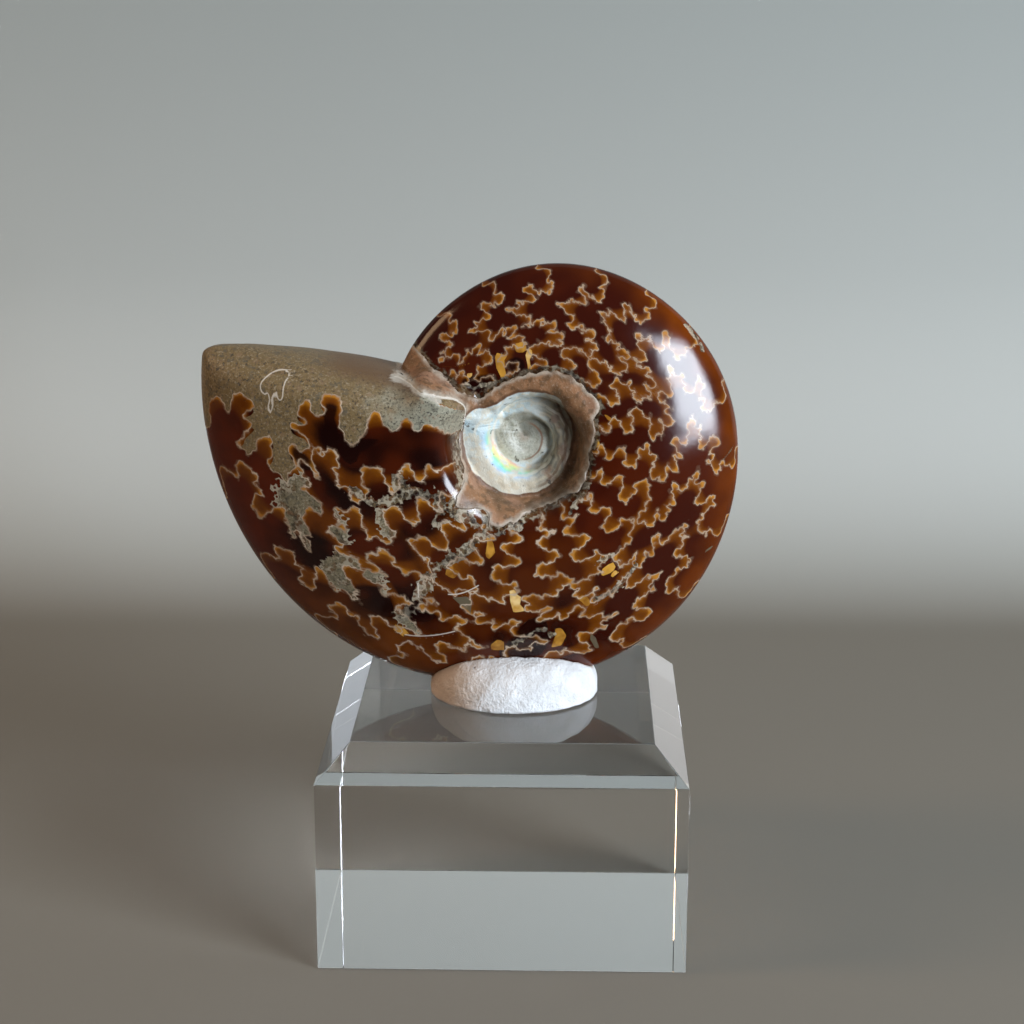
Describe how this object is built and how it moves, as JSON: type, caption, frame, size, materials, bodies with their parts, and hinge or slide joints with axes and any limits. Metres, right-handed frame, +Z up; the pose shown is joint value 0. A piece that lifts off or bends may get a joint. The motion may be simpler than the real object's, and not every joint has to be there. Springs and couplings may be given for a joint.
{
  "type": "polished ammonite fossil on a clear acrylic block",
  "caption": "Polished spiral ammonite fossil standing upright in a lump of white putty on a square, bevelled clear acrylic display block.",
  "frame": {"origin": "centre of the acrylic block's underside, on the surface that it stands on", "axes": "+Z up; +X to the right as the ammonite's front flank is looked at, away from its open end; +Y away behind the ammonite"},
  "size_m": [0.0952, 0.064, 0.1187],
  "materials": {
    "polished_fossil": "polished dark red-brown calcite with cream suture lines, amber glow and grey matrix",
    "white_putty": "matt, chalky, finely wrinkled",
    "clear_acrylic": "clear, polished"
  },
  "bodies": {
    "root": {"ammonite": "polished_fossil", "putty_rest": "white_putty", "acrylic_block": "clear_acrylic"}
  },
  "joints": []
}
